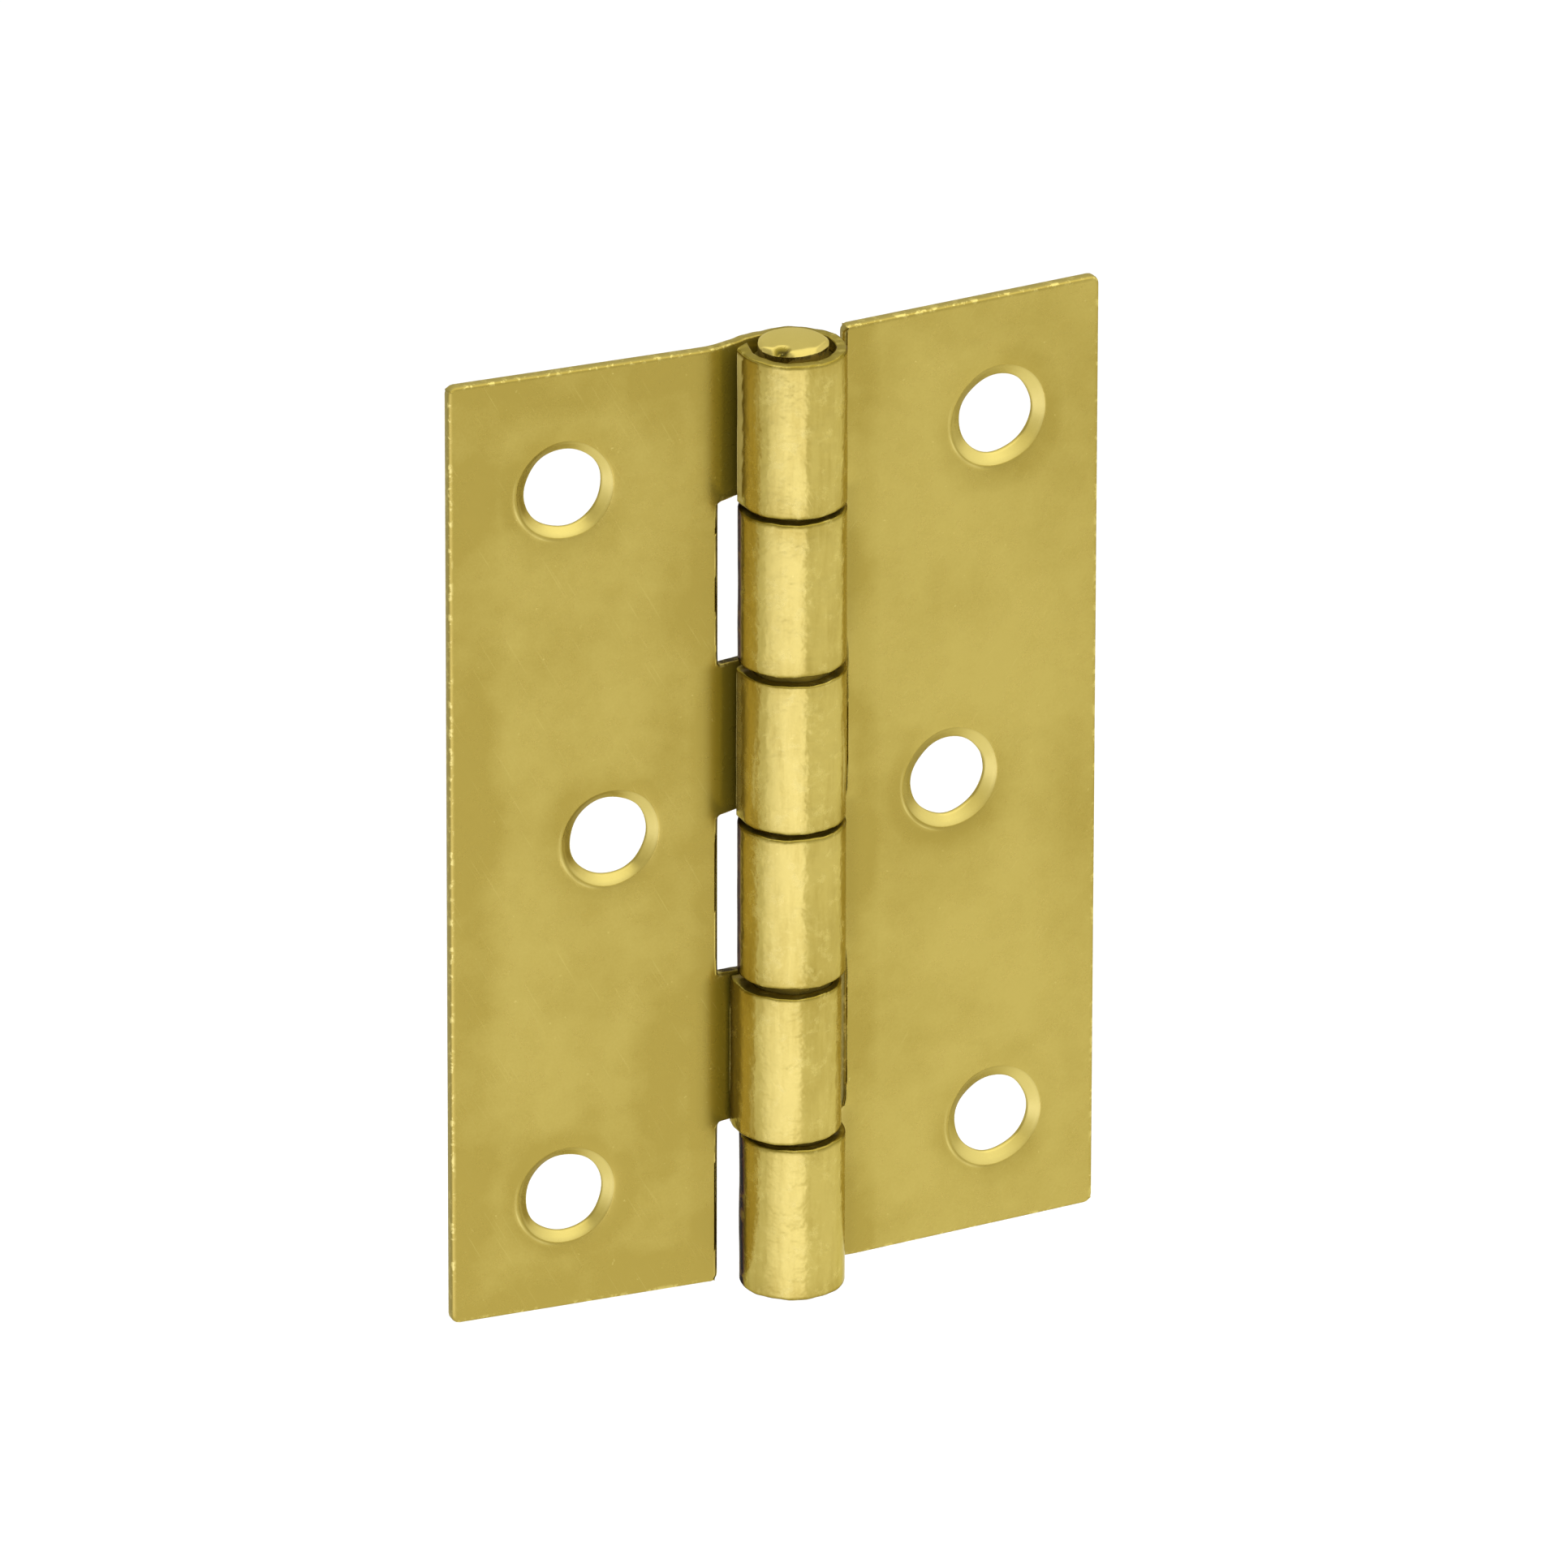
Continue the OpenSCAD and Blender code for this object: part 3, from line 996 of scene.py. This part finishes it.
def dull_and_shade_share(n, texture, mark, dullness):
    """Share of the darker colour, from the marks, most of which are painted shade, and from the noises,
    which give random tone.
    """
    clouds = texture.clouds
    dull_and_shade = n.math("MULTIPLY", mark.halo, n.ramp(clouds, 0.35, 0.6, 0.9, 0.35))
    dull_and_shade = n.math("ADD", dull_and_shade, n.ramp(mark.barrel, 0, 1, dullness, 0.0))
    banded = n.math("MULTIPLY", mark.border, n.ramp(clouds, 0.35, 0.65, 1.4, 0.7))
    dull_and_shade = n.math("MAXIMUM", dull_and_shade, banded)
    dull_and_shade = n.math("ADD", dull_and_shade, n.ramp(clouds, 0.30, 0.55, 0.45, 0.0))
    dull_and_shade = n.math("ADD", dull_and_shade, n.ramp(texture.blotches, 0.3, 0.7, 0.12, -0.12))
    dull_and_shade = n.math("ADD", dull_and_shade, n.math("MULTIPLY", mark.wear, 0.5))
    dull_and_shade = n.math("ADD", dull_and_shade, n.ramp(texture.grain, 0.3, 0.7, 0.12, -0.12))
    streaked = n.math("MULTIPLY", mark.barrel, n.ramp(texture.streaks, 0.35, 0.65, 0.35, -0.25))
    return n.math("ADD", dull_and_shade, streaked, clamp=True)


def brass_colour(n, texture, mark, colour):
    """The toned brass under its sheared faces, the olive and black painted shade, and the bright marks:
    wear, scratches, scuffs and painted highlights.
    """
    colour = n.mix(mark.sheared, colour, BRASS_SHEARED)
    # Painted shade: olive up to 1, near black from 1 to 2
    colour = n.mix(n.ramp(mark.crease, 0, 1, 0, 0.85), colour, SHADE_OLIVE)
    colour = n.mix(n.ramp(mark.crease, 1, 2), colour, SHADE_BLACK)
    specks = n.math("MULTIPLY", texture.specks, 0.4)
    bright = n.math("MAXIMUM", n.math("MULTIPLY", texture.hair, 0.1), specks)
    chipped = n.math("MULTIPLY", mark.wear, n.math("MULTIPLY", texture.chips, 0.75))
    bright = n.math("MAXIMUM", bright, chipped)
    scuffed = n.math("MULTIPLY", mark.barrel, n.math("MULTIPLY", texture.scuffs, 0.35))
    bright = n.math("MAXIMUM", bright, scuffed)
    # Painted highlights on the burrs, the lips, the countersinks and the pin's head
    bright = n.math("MAXIMUM", bright, mark.bared, clamp=True)
    return n.mix(bright, colour, BRASS_BRIGHT)


def brass_roughness(n, texture, mark):
    rough = n.ramp(texture.blotches, 0.25, 0.75, *PLATE_ROUGHNESS)
    rough = n.math("SUBTRACT", rough, n.math("MULTIPLY", mark.barrel, BARREL_SMOOTHNESS))
    scuffed = n.math("MULTIPLY", mark.barrel, texture.scuffs)
    rough = n.math("ADD", rough, n.math("MULTIPLY", scuffed, SCUFF_ROUGHNESS))
    bare = n.math("MAXIMUM", mark.sheared, mark.bared)
    return n.math("ADD", rough, n.math("MULTIPLY", bare, BARED_ROUGHNESS))


def brass_metallic(n, mark):
    """Lower where light painted shade, the sheared faces or the painted highlights lie, but not on the
    barrel's painted shade.
    """
    shaded = n.math("MAXIMUM", mark.crease, n.math("MULTIPLY", mark.sheared, 0.6), clamp=True)
    shaded = n.math("MULTIPLY", shaded, n.ramp(mark.barrel, 0, 1, 1, 0))
    chalky = n.math("MAXIMUM", mark.bared, shaded)
    chalky = n.math("MAXIMUM", chalky, n.math("MULTIPLY", mark.barrel, 0.2))
    chalky = n.math("SUBTRACT", chalky, n.ramp(mark.crease, 1, 2))
    return n.ramp(chalky, 0, 1, 1.0, CHALKY_METALLIC)


def brass_relief(n, texture, mark):
    """Fine relief of the grain, the scratches and the shallow dents."""
    height = n.math("MULTIPLY", texture.grain, GRAIN_HEIGHT)
    height = n.math("ADD", height, n.math("MULTIPLY", texture.hair, -HAIR_DEPTH))
    dents = n.ramp(mark.barrel, 0, 1, PLATE_DENTS, BARREL_DENTS)
    height = n.math("ADD", height, n.math("MULTIPLY", texture.blotches, dents))
    return n.new("Bump", {"Strength": RELIEF_STRENGTH, "Distance": MM, "Height": height}).outputs[0]


def floor_paint():
    n = Nodes("floor_paint")
    n.put(n.shader.inputs["Base Color"], n.mix(n.noise(0.004, 2.0), FLOOR_DARK, FLOOR_LIGHT))
    n.shader.inputs["Roughness"].default_value = FLOOR_ROUGHNESS
    return n.material


# ---------------------------------------------------------------- studio

# The studio's lengths are in metres
FLOOR_DROP = 0.22
FLOOR_SIZE = 6.0

# Radiance of the sky at the horizon and overhead, and the heights between which it changes
SKY_LEVELS = (1.1, 0.65)
SKY_HEIGHTS = (0.05, 0.6)

# (name, offset from the pin of the point it faces, direction, distance, size, power) of each softbox
SOFTBOXES = (
    ("ceiling", (0.25, -0.15, 0), (0, 0, 1), 1.0, (2.0, 2.4), 19.5),
    ("upper_card", (0, 0, 0), (0.35, -0.80, 0.46), 0.7, (0.95, 0.42), 0.62),
    ("side_card", (0, 0, 0), (0.9, -0.15, 0.45), 0.6, (0.5, 0.5), 0.35),
)

# Low cards, which overlap towards their common right edge: (name, azimuth of the left edge, radiance)
CARD_ELEVATION = -30
CARD_DISTANCE = 0.45
CARD_HEIGHT = 0.28
CARD_RIGHT_EDGE = 4
CARD_COLOUR = (0.95, 1.0, 1.9)
CARDS = (("card_wide", -75, 0.50), ("card_middle", -60, 0.27), ("card_narrow", -41, 0.22))


def build_floor(lowest):
    z = lowest - FLOOR_DROP
    half = FLOOR_SIZE / 2
    mesh = bpy.data.meshes.new("floor")
    corners = [(-half, -half, z), (half, -half, z), (half, half, z), (-half, half, z)]
    mesh.from_pydata(corners, [], [(0, 1, 2, 3)])
    floor = bpy.data.objects.new("floor", mesh)
    bpy.context.scene.collection.objects.link(floor)
    floor.data.materials.append(floor_paint())


def softbox(name, target, direction, distance, size, power, colour=(1, 1, 1)):
    """A rectangular area light that faces target from the given direction."""
    light = bpy.data.lights.new(name, "AREA")
    light.shape = "RECTANGLE"
    light.size, light.size_y = size
    light.energy = power
    light.color = colour
    box = bpy.data.objects.new(name, light)
    way = Vector(direction).normalized()
    box.location = target + way * distance
    box.rotation_mode = "QUATERNION"
    box.rotation_quaternion = way.to_track_quat("Z", "Y")
    bpy.context.scene.collection.objects.link(box)


def low_card(name, target, left_edge, radiance):
    """A lit card below the hinge's level, which the barrel and the leaves mirror to the camera."""
    azimuth = (left_edge + CARD_RIGHT_EDGE) / 2
    level = cos(CARD_ELEVATION)
    way = (sin(azimuth) * level, -cos(azimuth) * level, sin(CARD_ELEVATION))
    width = 2 * CARD_DISTANCE * math.tan(math.radians((CARD_RIGHT_EDGE - left_edge) / 2))
    power = radiance * math.pi * width * CARD_HEIGHT
    softbox(name, target, way, CARD_DISTANCE, (width, CARD_HEIGHT), power, CARD_COLOUR)


def build_sky():
    """A plain studio tent: bright at the horizon and dimmer overhead."""
    world = bpy.data.worlds.new("studio")
    world.use_nodes = True
    bpy.context.scene.world = world
    tree = world.node_tree
    coord = tree.nodes.new("ShaderNodeTexCoord")
    split = tree.nodes.new("ShaderNodeSeparateXYZ")
    level = tree.nodes.new("ShaderNodeMapRange")
    for socket, value in enumerate(SKY_HEIGHTS + SKY_LEVELS, 1):
        level.inputs[socket].default_value = value
    tree.links.new(coord.outputs["Generated"], split.inputs[0])
    tree.links.new(split.outputs["Z"], level.inputs[0])
    tree.links.new(level.outputs[0], tree.nodes["Background"].inputs["Strength"])
    tree.nodes["Background"].inputs["Color"].default_value = (1, 1, 1, 1)


CAMERA_AZIMUTH = -21.56
CAMERA_ELEVATION = 23.68
CAMERA_DISTANCE = 1.564
CAMERA_LENS = 522.4
CAMERA_ROLL = 0.13
CAMERA_RIGHT = -0.588 * MM
CAMERA_UP = 2.246 * MM


def build_camera(target):
    """A long lens at its azimuth and elevation, slid a little so that the hinge sits off centre."""
    a, e = CAMERA_AZIMUTH, CAMERA_ELEVATION
    back = Vector((sin(a) * cos(e), -cos(a) * cos(e), sin(e)))
    right = Vector((cos(a), sin(a), 0))
    up = back.cross(right)
    camera = bpy.data.objects.new("camera", bpy.data.cameras.new("camera"))
    camera.location = target + back * CAMERA_DISTANCE + right * CAMERA_RIGHT + up * CAMERA_UP
    camera.rotation_mode = "QUATERNION"
    turn = Matrix((right, up, back)).transposed().to_quaternion()
    roll = Matrix.Rotation(math.radians(CAMERA_ROLL), 3, "Z").to_quaternion()
    camera.rotation_quaternion = turn @ roll
    camera.data.lens = CAMERA_LENS
    camera.data.clip_start, camera.data.clip_end = 0.05, 20
    bpy.context.scene.collection.objects.link(camera)
    bpy.context.scene.camera = camera


# ---------------------------------------------------------------- scene

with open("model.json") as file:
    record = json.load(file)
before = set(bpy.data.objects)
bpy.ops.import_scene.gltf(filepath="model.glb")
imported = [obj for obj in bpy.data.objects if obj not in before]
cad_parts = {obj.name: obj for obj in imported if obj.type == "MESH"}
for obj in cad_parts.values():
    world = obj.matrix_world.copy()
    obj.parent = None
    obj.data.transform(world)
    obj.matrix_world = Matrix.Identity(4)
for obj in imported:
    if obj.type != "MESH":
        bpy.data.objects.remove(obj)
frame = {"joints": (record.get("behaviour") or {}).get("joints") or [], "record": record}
cad_low, cad_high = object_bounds()

joint = frame["joints"][0]
axis = Vector(joint["pos_m"])
mounts = {mount["name"]: mount for mount in frame["record"]["mounts"]}
face_way = mounts["swing_leaf_face"]["axis"]
rest_turn = math.atan2(-face_way[0], face_way[1])
fixed_place = Matrix.Translation(axis)
swing_place = fixed_place @ Matrix.Rotation(rest_turn, 4, "Z") @ Matrix.Rotation(math.pi, 4, "Y")


def holes_of(side):
    return [mounts[f"{side}_{row}_hole"] for row in ("top", "middle", "bottom")]


fixed_brass = brass("fixed_brass", 0.0, (0, 0.5, 0), 0.3)
fixed_skin = build_leaf("fixed_leaf", fixed_place, holes_of("fixed"), FIXED_LOOK, fixed_brass)
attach(fixed_skin, "frame_side")
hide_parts("fixed_leaf")

swing_brass = brass("swing_brass", 40.0, (0, -0.7, 0))
swing_skin = build_leaf("swing_leaf", swing_place, holes_of("swing"), SWING_LOOK, swing_brass)
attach(swing_skin, "door_side")
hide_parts("swing_leaf")

pin_low, pin_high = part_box("hinge_pin")
barrel_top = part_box("fixed_leaf")[1].z
pin_heights = [(z - axis.z) / MM for z in (pin_low.z, pin_high.z, barrel_top)]
pin_skin = build_pin(fixed_place, *pin_heights, brass("pin_brass", 80.0, (0, 0, 0)))
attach(pin_skin, "frame_side")
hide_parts("hinge_pin")

build_floor(cad_low.z)
build_camera(axis)
build_sky()
for name, offset, *setting in SOFTBOXES:
    softbox(name, axis + Vector(offset), *setting)
for name, left_edge, radiance in CARDS:
    low_card(name, axis, left_edge, radiance)

bpy.context.scene.view_settings.view_transform = "Standard"
